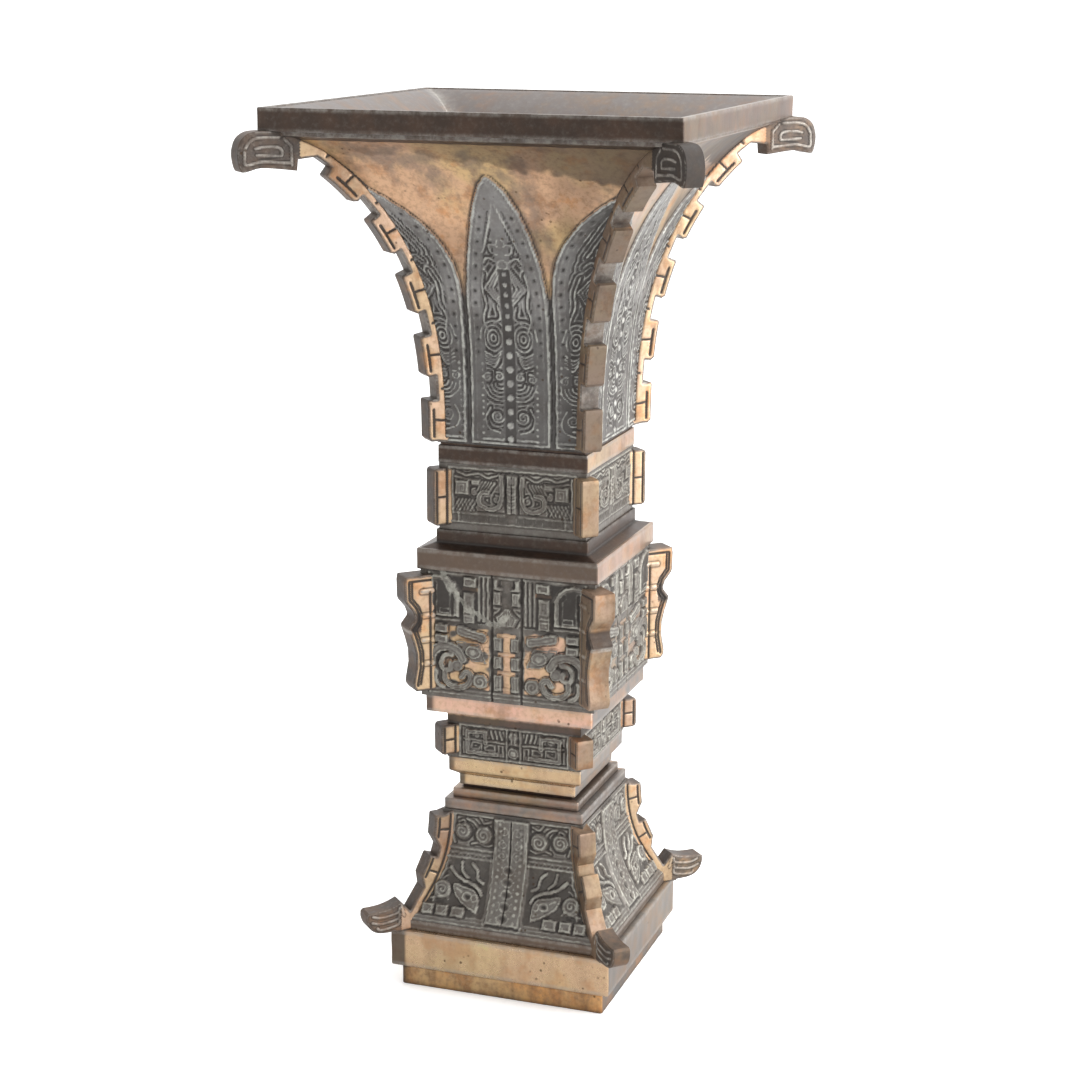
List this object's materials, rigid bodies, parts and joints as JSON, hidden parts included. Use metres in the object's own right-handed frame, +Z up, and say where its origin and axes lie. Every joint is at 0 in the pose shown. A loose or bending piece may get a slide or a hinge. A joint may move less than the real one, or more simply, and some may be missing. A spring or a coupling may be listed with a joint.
{
  "type": "square bronze gu vase",
  "caption": "Tall square beaker vase of cast bronze with a wide flared mouth, a boxed middle, a spreading foot, toothed corner flanges and raised mask and leaf relief.",
  "frame": {"origin": "centre of the foot's underside, on the surface the vase stands on", "axes": "+Z up along the vase's middle line, +X and +Y square to two neighbouring faces; -Y is the face turned most to the camera in the picture"},
  "size_m": [0.2116, 0.2116, 0.4178],
  "materials": {
    "bronze": "aged cast bronze, part polished gold-brown, dark grey patina in the relief"
  },
  "bodies": {
    "root": {"gu_vase": "bronze"}
  },
  "joints": []
}
